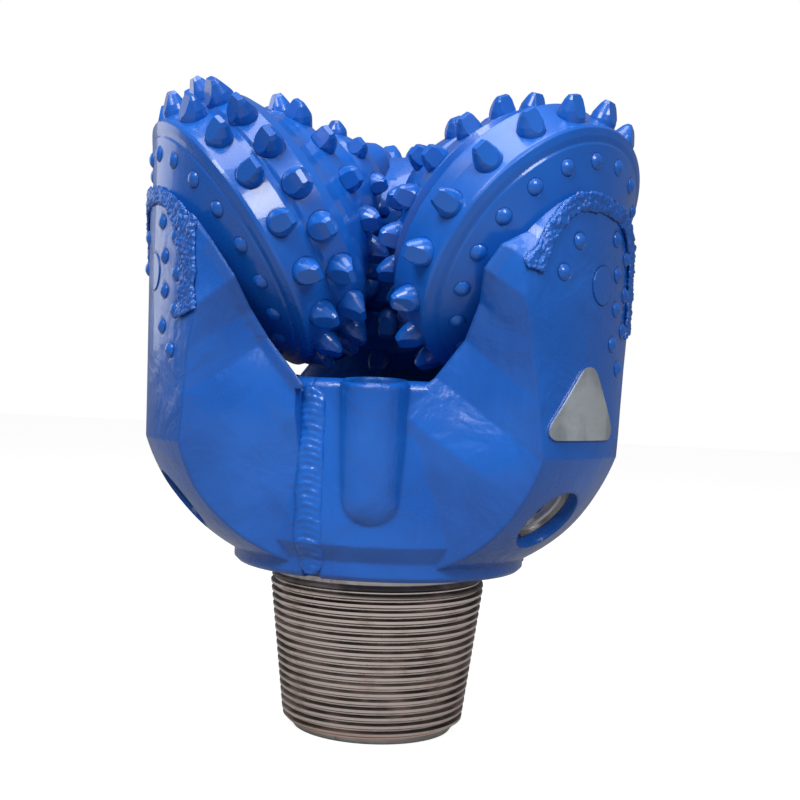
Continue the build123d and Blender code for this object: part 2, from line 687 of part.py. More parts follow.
def bushing():
    """Floating journal bushing."""
    inner = JOURNAL_R + RUN_GAP
    return turned([(inner, BUSH_FROM_S), (inner + BUSH_WALL, BUSH_FROM_S),
                   (inner + BUSH_WALL, BUSH_TO_S), (inner, BUSH_TO_S)])


def thrust_disc():
    """Thrust disc at the end of the pilot pin."""
    top = JOURNAL_TIP_S - RUN_GAP
    r = THRUST_R - SEAT_GAP
    return turned([(0, top - THRUST_WALL), (r, top - THRUST_WALL), (r, top - 0.8), (r - 0.8, top),
                   (0, top)])


def seal_ring():
    """Rubber seal ring in the cone's gland."""
    inner = JOURNAL_R + RUN_GAP
    outer = JOURNAL_R + SEAL_WALL + RUN_GAP - SEAT_GAP
    lo = SEAL_FROM_S
    hi = SEAL_TO_S
    b = 1.5
    return turned([(inner, lo + b), (inner + b, lo), (outer - b, lo), (outer, lo + b),
                   (outer, hi - b), (outer - b, hi), (inner + b, hi), (inner, hi - b)])


def balls():
    """Ball bearing set between the journal and the cone."""
    pattern = []
    for k in range(BALL_COUNT):
        pattern.append(Rot(0, 0, 360.0 * k / BALL_COUNT) * Pos(BALL_PITCH_R, 0, BALL_S)
                       * Sphere(BALL_R))
    return Compound(pattern)


# ---- build ----------------------------------------------------------------------

def build():
    """All parts by name, placed in the bit's frame."""
    parts = {}
    arm = arm_block()
    leg_parts = {
        "leg": leg(arm),
        "seam_weld": seam_weld(arm),
        "hardfacing": hardfacing(arm),
        "shirttail_buttons": shirttail_buttons(),
        "ball_plug": ball_plug(),
        "jet_nozzle": jet_nozzle(),
        "reservoir_cap": reservoir_cap(),
        "bearing_balls": on_journal(balls()),
    }
    grouped = {
        "jet_retainers": jet_retainer(),
        "jet_o_rings": jet_o_ring(),
        "jet_seat_sleeves": jet_sleeve(),
        "reservoir_snap_rings": reservoir_snap_ring(),
        "reservoir_cups": reservoir_cup(),
        "reservoir_diaphragms": reservoir_diaphragm(),
    }
    for name in LEG_TURN:
        for kind, solid in leg_parts.items():
            parts[f"{kind}_{name}"] = in_leg(name, solid)
        cone_parts = {"shell": cone_shell(name), "bushing": bushing(), "thrust_disc": thrust_disc(),
                      "seal_ring": seal_ring()}
        proto = domed(HEEL_BUTTON_R, HEEL_BUTTON_GRIP, HEEL_BUTTON_PROUD)
        cone_parts["heel_buttons"] = Compound([frame * proto for frame in heel_frames()])
        for index, row in enumerate(CONES[name]["rows"]):
            proto = insert(row[3], row[4])
            frames = insert_frames(row, row_phase(index, row))
            cone_parts[f"{row[0]}_inserts"] = Compound([frame * proto for frame in frames])
        for kind, solid in cone_parts.items():
            parts[f"cone_{name}_{kind}"] = in_leg(name, on_journal(solid))
    for kind, solid in grouped.items():
        parts[kind] = Compound([in_leg(name, solid) for name in LEG_TURN])
    return parts


os.makedirs("parts", exist_ok=True)
for part_name, part in build().items():
    export_step(part, f"parts/{part_name}.step")
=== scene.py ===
"""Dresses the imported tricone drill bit: paint, machined thread, weld, hardfacing and badge."""

import json
import logging
from dataclasses import dataclass, field
from enum import Enum
from math import cos, pi, radians, sin
from typing import Optional

import bmesh
import bpy
from mathutils import Matrix, Vector, noise


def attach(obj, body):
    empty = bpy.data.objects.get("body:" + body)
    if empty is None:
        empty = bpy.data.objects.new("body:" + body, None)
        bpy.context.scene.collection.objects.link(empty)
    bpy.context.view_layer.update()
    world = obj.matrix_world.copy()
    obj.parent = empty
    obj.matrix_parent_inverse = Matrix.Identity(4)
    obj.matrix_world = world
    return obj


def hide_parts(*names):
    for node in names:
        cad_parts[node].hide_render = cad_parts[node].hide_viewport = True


LOG = logging.getLogger("tricone_bit")

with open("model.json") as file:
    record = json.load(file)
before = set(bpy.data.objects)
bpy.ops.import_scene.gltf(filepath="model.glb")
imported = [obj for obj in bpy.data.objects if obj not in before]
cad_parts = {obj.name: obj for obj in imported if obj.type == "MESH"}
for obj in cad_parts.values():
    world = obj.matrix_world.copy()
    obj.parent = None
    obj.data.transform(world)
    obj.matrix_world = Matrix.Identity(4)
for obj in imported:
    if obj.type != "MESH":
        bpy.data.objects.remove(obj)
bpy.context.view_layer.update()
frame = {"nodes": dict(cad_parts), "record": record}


# ---- shader writing ----------------------------------------------------------

class Signal:
    """A shader value that adds Math nodes when it is used in an expression."""

    def __init__(self, graph: "Graph", socket: bpy.types.NodeSocket) -> None:
        """Wraps an output socket of a graph."""
        self.graph = graph
        self.socket = socket

    def _math(self, operation: str, first: object, second: object, clamp: bool = False) -> "Signal":
        """Adds one Math node.

        Args:
            operation: The Math node's operation.
            first: First value or signal.
            second: Second value or signal.
            clamp: Whether the result is held between 0 and 1.

        Returns:
            The node's result.
        """
        return self.graph.node("ShaderNodeMath", {"operation": operation, "use_clamp": clamp},
                               {0: first, 1: second})

    def __add__(self, other: object) -> "Signal":
        """Returns the sum."""
        return self._math("ADD", self, other)

    def __radd__(self, other: object) -> "Signal":
        """Returns the sum."""
        return self._math("ADD", other, self)

    def __sub__(self, other: object) -> "Signal":
        """Returns the difference."""
        return self._math("SUBTRACT", self, other)

    def __rsub__(self, other: object) -> "Signal":
        """Returns the difference the other way."""
        return self._math("SUBTRACT", other, self)

    def __mul__(self, other: object) -> "Signal":
        """Returns the product."""
        return self._math("MULTIPLY", self, other)

    def __rmul__(self, other: object) -> "Signal":
        """Returns the product."""
        return self._math("MULTIPLY", other, self)

    def __pow__(self, other: object) -> "Signal":
        """Returns the power."""
        return self._math("POWER", self, other)

    def held(self) -> "Signal":
        """Returns the value held between 0 and 1."""
        return self._math("ADD", self, 0.0, clamp=True)

    def most(self, other: object) -> "Signal":
        """Returns the larger of the two."""
        return self._math("MAXIMUM", self, other)

    def band(self, low: float, high: float) -> "Signal":
        """Rises smoothly from 0 at low to 1 at high; low may be the larger.

        Args:
            low: Value that gives 0.
            high: Value that gives 1.

        Returns:
            The smooth step.
        """
        lo, hi, ends = (low, high, (0.0, 1.0)) if low < high else (high, low, (1.0, 0.0))
        return self.graph.node("ShaderNodeMapRange", {"interpolation_type": "SMOOTHSTEP"},
                               {"Value": self, "From Min": lo, "From Max": hi,
                                "To Min": ends[0], "To Max": ends[1]})


class Graph:
    """Node tree of one material, with its shader and output."""

    def __init__(self, name: str) -> None:
        """Makes an empty material with one Principled shader.

        Args:
            name: The material's name.
        """
        self.material = bpy.data.materials.new(name)
        self.material.use_nodes = True
        self.tree = self.material.node_tree
        self.tree.nodes.clear()
        self.shader = self.tree.nodes.new("ShaderNodeBsdfPrincipled")
        output = self.tree.nodes.new("ShaderNodeOutputMaterial")
        self.tree.links.new(self.shader.outputs["BSDF"], output.inputs["Surface"])
        self.coords = self.node("ShaderNodeTexCoord", output="Object")

    def feed(self, socket: bpy.types.NodeSocket, value: object) -> None:
        """Links a signal to a socket or sets its value.

        Args:
            socket: Input socket.
            value: Signal, number or tuple.
        """
        if isinstance(value, Signal):
            self.tree.links.new(value.socket, socket)
        else:
            socket.default_value = value

    def node(self, kind: str, settings: Optional[dict] = None, inputs: Optional[dict] = None,
             output: object = 0) -> Signal:
        """Adds a node of any type.

        Args:
            kind: Node type.
            settings: Attributes, set before the inputs.
            inputs: Values or signals by socket name or number.
            output: Name or number of the output that is wanted.

        Returns:
            The wanted output.
        """
        made = self.tree.nodes.new(kind)
        for key, value in (settings or {}).items():
            setattr(made, key, value)
        for key, value in (inputs or {}).items():
            self.feed(made.inputs[key], value)
        return Signal(self, made.outputs[output])

    def mapped(self, scale: tuple) -> Signal:
        """Object coordinates scaled along each axis."""
        return self.node("ShaderNodeMapping", {"vector_type": "POINT"},
                         {"Vector": self.coords, "Scale": scale}, "Vector")

    def axes(self) -> tuple:
        """X, Y and Z of the object coordinates, in metres."""
        split = self.node("ShaderNodeSeparateXYZ", None, {0: self.coords})
        outputs = split.socket.node.outputs
        return tuple(Signal(self, outputs[k]) for k in range(3))

    def noise(self, scale: float, detail: float = 2.0, rough: float = 0.5,
              where: Optional[Signal] = None, bend: float = 0.0) -> Signal:
        """Soft noise from 0 to 1.

        Args:
            scale: Features per metre.
            detail: Octaves.
            rough: Strength of the fine octaves.
            where: Coordinates, or the object's own.
            bend: Distortion.

        Returns:
            The noise.
        """
        return self.node("ShaderNodeTexNoise", None,
                         {"Vector": where or self.coords, "Scale": scale, "Detail": detail,
                          "Roughness": rough, "Distortion": bend}, "Fac")

    def cells(self, scale: float) -> Signal:
        """Distance to the nearest of scattered points, in cells."""
        return self.node("ShaderNodeTexVoronoi", None,
                         {"Vector": self.coords, "Scale": scale}, "Distance")

    def blend(self, factor: object, first: object, second: object) -> Signal:
        """Colour between first and second.

        Args:
            factor: 0 gives first and 1 second.
            first: Colour or signal.
            second: Colour or signal.

        Returns:
            The mixed colour.
        """
        colours = [c if isinstance(c, Signal) else (*c, 1.0) for c in (first, second)]
        return self.node("ShaderNodeMix", {"data_type": "RGBA"},
                         {0: factor, 6: colours[0], 7: colours[1]}, 2)

    def bump(self, height: Signal, depth: float, strength: float = 1.0,
             under: Optional[Signal] = None) -> Signal:
        """Normal raised by a height.

        Args:
            height: Height from 0 to 1.
            depth: Height of 1, in metres.
            strength: Share of the effect.
            under: Normal from another bump.

        Returns:
            The normal.
        """
        inputs = {"Height": height, "Distance": depth, "Strength": strength}
        if under is not None:
            inputs["Normal"] = under
        return self.node("ShaderNodeBump", None, inputs, "Normal")

    def rounded(self, radius: float) -> Signal:
        """Normal that rounds the edges by a radius in metres."""
        return self.node("ShaderNodeBevel", {"samples": 6}, {"Radius": radius}, "Normal")

    def set(self, **sockets: object) -> bpy.types.Material:
        """Feeds the shader's sockets, with _ for a space in a name.

        Returns:
            The finished material.
        """
        for name, value in sockets.items():
            if isinstance(value, tuple) and len(value) == 3:
                value = (*value, 1.0)
            self.feed(self.shader.inputs[name.replace("_", " ")], value)
        return self.material


# ---- finishes ----------------------------------------------------------------

class Paintwork(Enum):
    """What lies under the blue enamel."""

    FORGING = "forging"
    CONE = "cone"
    CARBIDE = "carbide"
    HARDFACING = "hardfacing"
    WELD = "weld"


@dataclass(frozen=True)
class Enamel:
    """Glossy royal blue enamel over steel."""

    colour: tuple = (0.007, 0.108, 0.480)
    thin: tuple = (0.004, 0.078, 0.370)
    rust: tuple = (0.100, 0.045, 0.025)
    roughness: float = 0.24
    coat: float = 0.35
    coat_roughness: float = 0.05
    specular: float = 0.4
    pin_top: float = 0.1333
    pin_radius: float = 0.0935
    bore_radius: float = 0.0385
    bore_top: float = 0.21

    def paint(self, graph: Graph, under: Paintwork) -> dict:
        """Colour, roughness and relief of the enamel.

        Args:
            graph: Graph to write in.
            under: What the enamel covers.

        Returns:
            Shader inputs by name.
        """
        cloud = graph.noise(9.0, 3.0, 0.55)
        colour = graph.blend(cloud.band(0.35, 0.7), self.thin, self.colour)
        fine = graph.noise(420.0, 2.0, 0.6)
        runs = graph.noise(60.0, 3.0, 0.6, graph.mapped((1.0, 1.0, 0.22)))
        rough = self.roughness + 0.10 * cloud + 0.08 * (fine - 0.5)
        if under is Paintwork.FORGING:
            normal = graph.bump(graph.noise(22.0, 3.0, 0.5, bend=0.8), 0.0042, 0.7,
                                graph.rounded(0.0045))
            normal = graph.bump(runs, 0.0016, 0.6, normal)
            normal = graph.bump(fine, 0.0002, 0.6, normal)
        elif under is Paintwork.HARDFACING:
            beads = graph.cells(150.0)
            normal = graph.bump(beads, 0.0016, 0.9)
            normal = graph.bump(graph.noise(420.0, 3.0, 0.7), 0.0007, 0.8, normal)
            rough = rough + 0.05
        elif under is Paintwork.WELD:
            normal = graph.bump(graph.noise(110.0, 3.0, 0.6), 0.0010, 0.7)
            normal = graph.bump(fine, 0.0002, 0.6, normal)
        else:
            edge = 0.0007 if under is Paintwork.CARBIDE else 0.0016
            normal = graph.bump(graph.noise(55.0, 2.0, 0.5), 0.0006, 0.35, graph.rounded(edge))
            normal = graph.bump(fine, 0.00010, 0.5, normal)
        return {"Base_Color": colour, "Roughness": rough.held(), "Normal": normal,
                "Metallic": 0.0}

    def material(self, name: str, under: Paintwork) -> bpy.types.Material:
        """Enamel on one kind of surface."""
        graph = Graph(name)
        inputs = self.paint(graph, under)
        return graph.set(**inputs, Coat_Weight=self.coat, Coat_Roughness=self.coat_roughness,
                         Specular_IOR_Level=self.specular)

    def leg_material(self, steel: "MachinedSteel") -> bpy.types.Material:
        """Enamel on the forging that ends in bare steel on the pin and under the collar.

        Args:
            steel: Finish of the bare pin.

        Returns:
            The material.
        """
        graph = Graph("leg_enamel")
        inputs = self.paint(graph, Paintwork.FORGING)
        x, y, z = graph.axes()
        out = (x * x + y * y) ** 0.5
        ragged = graph.noise(160.0, 3.0, 0.6) * 0.0022
        below = (z + ragged).band(self.pin_top + 0.0019, self.pin_top + 0.0007)
        inside = (out + ragged).band(self.pin_radius + 0.002, self.pin_radius)
        bore = out.band(self.bore_radius + 0.001, self.bore_radius)
        bore = bore * z.band(self.bore_top, self.bore_top - 0.005)
        bare = (below * inside).most(bore * z.band(self.bore_top, self.bore_top - 0.01))
        speck_rows = graph.noise(14.0, 2.0, 0.5).band(0.5, 0.72)
        specks = graph.cells(170.0).band(0.16, 0.07) * speck_rows * z.band(0.34, 0.22)
        machined = steel.surface(graph)
        colour = graph.blend(specks * 0.8, inputs["Base_Color"], self.rust)
        return graph.set(
            Base_Color=graph.blend(bare, colour, machined["Base_Color"]),
            Roughness=inputs["Roughness"] * (1.0 - bare) + machined["Roughness"] * bare,
            Metallic=bare, Coat_Weight=(1.0 - bare) * self.coat,
            Coat_Roughness=self.coat_roughness, Specular_IOR_Level=self.specular,
            Normal=inputs["Normal"])


@dataclass(frozen=True)
class MachinedSteel:
    """Turned bare steel, with a little rust and a warm film of oil."""

    colour: tuple = (0.60, 0.57, 0.55)
    stained: tuple = (0.36, 0.24, 0.17)
    # Dark tone of the turning streaks; the thread also uses it as painted shade on its flanks.
    streak_dark_and_flank_shade: tuple = (0.14, 0.12, 0.11)
    roughness: float = 0.24

    def surface(self, graph: Graph) -> dict:
        """Colour and roughness of turned steel."""
        stains = graph.noise(30.0, 4.0, 0.65).band(0.52, 0.78)
        streaks = graph.noise(240.0, 2.0, 0.6, graph.mapped((0.1, 0.1, 1.0)))
        colour = graph.blend(stains * 0.6, self.colour, self.stained)
        colour = graph.blend(streaks.band(0.62, 0.85) * 0.5, colour, self.streak_dark_and_flank_shade)
        rough = self.roughness + 0.22 * stains + 0.12 * streaks
        return {"Base_Color": colour, "Roughness": rough.held(), "Stain": stains}

    def material(self, name: str) -> bpy.types.Material:
        """Turned steel all over."""
        graph = Graph(name)
        inputs = self.surface(graph)
        inputs.pop("Stain")
        relief = graph.bump(graph.noise(900.0, 2.0, 0.6, graph.mapped((0.06, 0.06, 1.0))),
                            0.0001, 0.5)
        return graph.set(**inputs, Metallic=1.0, Normal=relief)


@dataclass(frozen=True)
class ThreadSteel(MachinedSteel):
    """Turned thread: pinkish crests, painted shade on the flanks, a painted highlight along the
    root floors, a copper-toned end and rusty specks.
    """

    crest: tuple = (0.82, 0.69, 0.64)
    # Near-white painted on the root floors as a painted highlight.
    painted_root_highlight: tuple = (0.93, 0.89, 0.87)
    copper: tuple = (0.74, 0.43, 0.31)
    rust: tuple = (0.16, 0.06, 0.03)

    def material(self, name: str) -> bpy.types.Material:
        """Thread steel with painted shade on the flanks and a painted highlight on the root floors,
        both placed by the root attribute.
        """
        graph = Graph(name)
        inputs = self.surface(graph)
        root = graph.node("ShaderNodeAttribute", {"attribute_name": "root"}, None, "Fac")
        z = graph.axes()[2]
        # Painted shade: the flanks between crest and root floor are darkened toward a dark brown,
        # with noise varying the strength.
        flank = (root.band(0.02, 0.10) * root.band(1.0, 0.93)).held()
        # Painted highlight: the root floors are lightened halfway toward near-white.
        colour = graph.blend(root.band(0.90, 1.0) * 0.5, self.crest, self.painted_root_highlight)
        colour = graph.blend(inputs["Stain"] * 0.6, colour, self.stained)
        flank_shade_noise = graph.noise(22.0, 3.0, 0.6, graph.mapped((1.0, 1.0, 2.5))).band(0.35, 0.6)
        colour = graph.blend(flank * (0.55 + 0.4 * flank_shade_noise), colour, self.streak_dark_and_flank_shade)
        copper = z.band(0.012, 0.003) * 0.75
        colour = graph.blend(copper, colour, self.copper)
        rust = graph.cells(220.0).band(0.15, 0.05) * graph.noise(25.0, 2.0, 0.5).band(0.5, 0.7)
        colour = graph.blend(rust * 0.8, colour, self.rust)
        relief = graph.bump(graph.noise(700.0, 2.0, 0.6, graph.mapped((0.05, 0.05, 1.0))),
                            0.00012, 0.6)
        return graph.set(Base_Color=colour, Roughness=(inputs["Roughness"] + flank * 0.1).held(),
                         Metallic=1.0, Normal=relief)


@dataclass(frozen=True)
class BrushedPlate:
    """Brushed steel of the badge."""

    colour: tuple = (0.80, 0.87, 0.93)
    dull: tuple = (0.50, 0.56, 0.61)
    roughness: float = 0.38

    def material(self, name: str) -> bpy.types.Material:
        """Brushed along the round of the leg."""
        graph = Graph(name)
        lines = graph.noise(500.0, 3.0, 0.6, graph.mapped((0.12, 0.12, 3.0)))
        cloud = graph.noise(28.0, 3.0, 0.6)
        colour = graph.blend(cloud.band(0.35, 0.7), self.colour, self.dull)
        return graph.set(Base_Color=colour, Roughness=(self.roughness + 0.18 * lines).held(),
                         Metallic=1.0, Normal=graph.bump(lines, 0.00012, 0.6))


@dataclass(frozen=True)
class PlainFinish:
    """A single substance with a little grain."""

    colour: tuple
    roughness: float
    metallic: float = 0.0
    grain: float = 300.0
    depth: float = 0.0001

    def material(self, name: str) -> bpy.types.Material:
        """The substance all over."""
        graph = Graph(name)
        grain = graph.noise(self.grain, 3.0, 0.6)
        darker = tuple(0.7 * c for c in self.colour)
        return graph.set(Base_Color=graph.blend(grain, darker, self.colour),
                         Roughness=(self.roughness + 0.12 * (grain - 0.5)).held(),
                         Metallic=self.metallic, Normal=graph.bump(grain, self.depth, 0.5))


# ---- pieces ------------------------------------------------------------------

def finish_mesh(bm: bmesh.types.BMesh, name: str, body: str,
                material: bpy.types.Material, sharp_above: float = 40.0) -> bpy.types.Object:
    """Turns a bmesh into a piece of the object.

    Args:
        bm: The shape, in metres, in the bit's frame.
        name: The piece's name.
        body: CAD body that it rides on.
        material: Its material.
        sharp_above: Angle in degrees above which an edge stays crisp.

    Returns:
        The new object.
    """
    mesh = bpy.data.meshes.new(name)
    bm.to_mesh(mesh)
    bm.free()
    for polygon in mesh.polygons:
        polygon.use_smooth = True
    mesh.set_sharp_from_angle(angle=radians(sharp_above))
    mesh.materials.append(material)
    piece = bpy.data.objects.new(name, mesh)
    bpy.context.scene.collection.objects.link(piece)
    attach(piece, body)
    LOG.info("%s: %d faces", name, len(mesh.polygons))
    return piece


@dataclass
class PinThread:
    """Right-hand thread on the pin: 4 to the inch on a taper of 3 inches to the foot."""

    pitch: float = 0.00635
    taper: float = 0.125
    small_radius: float = 0.07224
    depth: float = 0.0036
    crest: float = 0.0021
    root: float = 0.0009
    first_z: float = 0.0004
    last_z: float = 0.1285
    run_out: float = 0.012
    bevel_radius: float = 0.0645
    bevel_slope: float = 0.989
    steps_per_turn: int = 96
    sunk: float = 0.0003
    proud: float = 0.00003
    material: Optional[bpy.types.Material] = None

    def profile(self, bm: bmesh.types.BMesh) -> list:
        """One pitch of the thread's outline at the start, on the +X side.

        Args:
            bm: Shape to add to.

        Returns:
            The outline's edges.
        """
        flank = (self.pitch - self.crest - self.root) / 2
        root_r = self.small_radius - self.depth
        heights = [0.0, self.root, self.root + flank, self.root + flank + self.crest, self.pitch]
        lifts = [0.0, 0.0, self.depth, self.depth, 0.0]
        verts = [bm.verts.new((root_r + lift, 0.0, self.first_z + height))
                 for height, lift in zip(heights, lifts)]
        return [bm.edges.new(pair) for pair in zip(verts, verts[1:])]

    def build(self) -> bpy.types.Object:
        """Winds the outline round the pin, tapers it, bevels its start and fades its end.

        Returns:
            The thread.
        """
        bm = bmesh.new()
        edges = self.profile(bm)
        turns = (self.last_z - self.first_z) / self.pitch - 1
        steps = int(turns * self.steps_per_turn)
        rise = turns * self.pitch / steps
        bmesh.ops.spin(bm, geom=edges + list(bm.verts), cent=(0, 0, 0), axis=(0, 0, 1),
                       dvec=(0, 0, rise), angle=turns * 2 * pi, steps=steps,
                       use_duplicate=False)
        bmesh.ops.remove_doubles(bm, verts=bm.verts, dist=0.00002)
        layer = bm.verts.layers.float.new("root")
        floor = self.small_radius - self.depth
        for vert in bm.verts:
            radius = Vector((vert.co.x, vert.co.y)).length
            z = vert.co.z
            fade = min(1.0, max(0.0, (self.last_z - z) / self.run_out))
            lift = (radius - floor) * fade
            vert[layer] = max(0.0, min(1.0, 1.0 - lift / self.depth))
            bevel = self.bevel_radius + self.bevel_slope * z
            bare = floor + self.taper * z
            wanted = min(bare + lift, bevel) if bevel > bare else bevel - self.sunk
            wanted += self.proud
            vert.co.x *= wanted / radius
            vert.co.y *= wanted / radius
        bmesh.ops.recalc_face_normals(bm, faces=bm.faces)
        return finish_mesh(bm, "pin_thread", "bit_body", self.material,
                           sharp_above=25.0)


@dataclass
class Badge:
    """Bare triangular steel plate on one leg's face."""

    turn: float = -30.0
    radius: float = 0.1908
    thick: float = 0.0016
    base_low: float = -0.050
    base_high: float = 0.046
    base_z: float = 0.2435
    apex: float = -0.001
    apex_z: float = 0.3040
    corner: float = 0.017
    face_z: float = 0.230
    face_slope: float = 0.0167
    material: Optional[bpy.types.Material] = None

    def build(self) -> bpy.types.Object:
        """Cuts the plate, rounds its corners, bends it to the leg and thickens it.

        Returns:
            The plate.
        """
        bm = bmesh.new()
        corners = [(self.base_low, self.base_z), (self.base_high, self.base_z),
                   (self.apex, self.apex_z)]
        verts = [bm.verts.new((0.0, across, height)) for across, height in corners]
        bm.faces.new(verts)
        bmesh.ops.bevel(bm, geom=verts, offset=self.corner, offset_type="OFFSET", segments=10,
                        profile=0.5, affect="VERTICES", material=-1)
        bmesh.ops.triangulate(bm, faces=bm.faces)
        for _ in range(4):
            bmesh.ops.subdivide_edges(bm, edges=bm.edges, cuts=1, use_grid_fill=True)
        for vert in bm.verts:
            angle = vert.co.y / self.radius
            lean = self.radius + (vert.co.z - self.face_z) * self.face_slope
            vert.co.x = lean * cos(angle)
            vert.co.y = lean * sin(angle)
        bmesh.ops.recalc_face_normals(bm, faces=bm.faces)
        if bm.faces[:][0].normal.x < 0:
            bmesh.ops.reverse_faces(bm, faces=bm.faces)
        plate = bmesh.ops.extrude_face_region(bm, geom=list(bm.faces))
        raised = [v for v in plate["geom"] if isinstance(v, bmesh.types.BMVert)]
        for vert in raised:
            out = Vector((vert.co.x, vert.co.y, 0)).normalized()
            vert.co += out * self.thick
        bmesh.ops.recalc_face_normals(bm, faces=bm.faces)
        bmesh.ops.rotate(bm, verts=bm.verts, cent=(0, 0, 0),
                         matrix=Matrix.Rotation(radians(self.turn), 3, "Z"))
        return finish_mesh(bm, "badge_plate", "bit_body", self.material)


@dataclass
class RoughBead:
    """Laid hardfacing, whose surface is lumped."""

    node: str
    slot: str = "painted_hardfacing"
    voxel: float = 0.0008
    lump: float = 0.0011
    lump_scale: float = 130.0
    grain: float = 0.0010
    grain_scale: float = 420.0
    lift: float = 0.0006
    material: Optional[bpy.types.Material] = None

    def build(self) -> bpy.types.Object:
        """Remeshes the CAD solid and moves its skin by layered noise.

        Returns:
            The lumpy piece, standing for its node.
        """
        source = frame["nodes"][self.node]
        bm = bmesh.new()
        bm.from_mesh(source.data)
        bmesh.ops.remove_doubles(bm, verts=bm.verts, dist=0.00001)
        mesh = bpy.data.meshes.new(self.node + "_skin")
        bm.to_mesh(mesh)
        bm.free()
        piece = bpy.data.objects.new(self.node + "_bead", mesh)
        bpy.context.scene.collection.objects.link(piece)
        remesh = piece.modifiers.new("skin", "REMESH")
        remesh.mode = "VOXEL"
        remesh.voxel_size = self.voxel
        evaluated = piece.evaluated_get(bpy.context.evaluated_depsgraph_get())
        made = bpy.data.meshes.new_from_object(evaluated)
        piece.modifiers.clear()
        piece.data = made
        self._lump(made)
        made.materials.clear()
        made.materials.append(self.material)
        for polygon in made.polygons:
            polygon.use_smooth = True
        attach(piece, "bit_body")
        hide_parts(self.node)
        LOG.info("%s: %d faces", piece.name, len(made.polygons))
        return piece

    def _lump(self, mesh: bpy.types.Mesh) -> None:
        """Moves the skin along its normals by two sizes of noise."""
        bm = bmesh.new()
        bm.from_mesh(mesh)
        bm.normal_update()
        for _ in range(2):
            bmesh.ops.smooth_vert(bm, verts=bm.verts, factor=0.5, use_axis_x=True,
                                  use_axis_y=True, use_axis_z=True)
        bm.normal_update()
        moves = []
        for vert in bm.verts:
            big = noise.noise(vert.co * self.lump_scale)
            small = noise.turbulence(vert.co * self.grain_scale, 3, False)
            moves.append(vert.normal * (self.lift + self.lump * big + self.grain * (small - 0.3)))
        for vert, move in zip(bm.verts, moves):
            vert.co += move
        bm.to_mesh(mesh)
        bm.free()


@dataclass
class SeamWeld:
    """Weld bead laid up the groove between two legs."""

    side: str
    turn: float
    seam: float = -74.3
    collar_radius: float = 0.1172
    body_radius: float = 0.1260
    collar_top: float = 0.1475
    body_from: float = 0.1600
    foot_z: float = 0.1362
    top_z: float = 0.2745
    half_width: float = 0.0118
    proud: float = 0.0034
    sunk: float = 0.0012
    rooted: float = 0.003
    ripple_pitch: float = 0.0052
    columns: int = 30
    rows: int = 150
    material: Optional[bpy.types.Material] = None

    def skin(self, z: float) -> float:
        """Radius of the body under the weld at a height."""
        rise = (z - self.collar_top) / (self.body_from - self.collar_top)
        share = min(1.0, max(0.0, rise))
        return self.collar_radius + (self.body_radius - self.collar_radius) * share

    def height(self, across: float, z: float) -> float:
        """Height of the bead over the body.

        Args:
            across: Place over the width, from -1 to 1.
            z: Height up the seam.

        Returns:
            The bead's height in metres.
        """
        end = min(self.top_z - z, z - self.foot_z) / self.half_width
        reach = max(0.0, 1.0 - max(0.0, 1.0 - end) ** 2) ** 0.5
        crown = max(0.0, 1.0 - (abs(across) / max(reach, 0.001)) ** 3.2) ** 0.6
        place = Vector((across * self.half_width, self.turn * 0.01, z))
        lump = noise.noise(place * 62.0) * 0.30 + noise.noise(place * 150.0) * 0.16
        ripple = 0.07 * sin(z * 2 * pi / self.ripple_pitch + 5.0 * across * across)
        return -self.sunk + (self.proud + self.sunk) * crown * (1.0 + lump + ripple)

    def build(self) -> bpy.types.Object:
        """Draws the bead's face over the seam and closes it under the skin.

        Returns:
            The weld, standing for its node.
        """
        bm = bmesh.new()
        grid = []
        for row in range(self.rows + 1):
            z = self.foot_z + (self.top_z - self.foot_z) * row / self.rows
            line = []
            for column in range(self.columns + 1):
                across = 2.0 * column / self.columns - 1.0
                wave = 1.0 + 0.10 * noise.noise(Vector((across * 2.0, z * 90.0, self.turn)))
                radius = self.skin(z) + self.height(across, z)
                angle = radians(self.turn + self.seam)
                angle += across * wave * self.half_width / self.body_radius
                line.append(bm.verts.new((radius * cos(angle), radius * sin(angle), z)))
            grid.append(line)
        for low, high in zip(grid, grid[1:]):
            for k in range(self.columns):
                bm.faces.new((low[k], low[k + 1], high[k + 1], high[k]))
        under = bmesh.ops.extrude_face_region(bm, geom=list(bm.faces))
        for vert in under["geom"]:
            if isinstance(vert, bmesh.types.BMVert):
                out = Vector((vert.co.x, vert.co.y, 0.0))
                vert.co -= out.normalized() * (out.length - self.skin(vert.co.z) + self.rooted)
        bmesh.ops.recalc_face_normals(bm, faces=bm.faces)
        piece = finish_mesh(bm, f"seam_weld_{self.side}_bead", "bit_body",
                            self.material)
        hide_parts(f"seam_weld_{self.side}")
        return piece


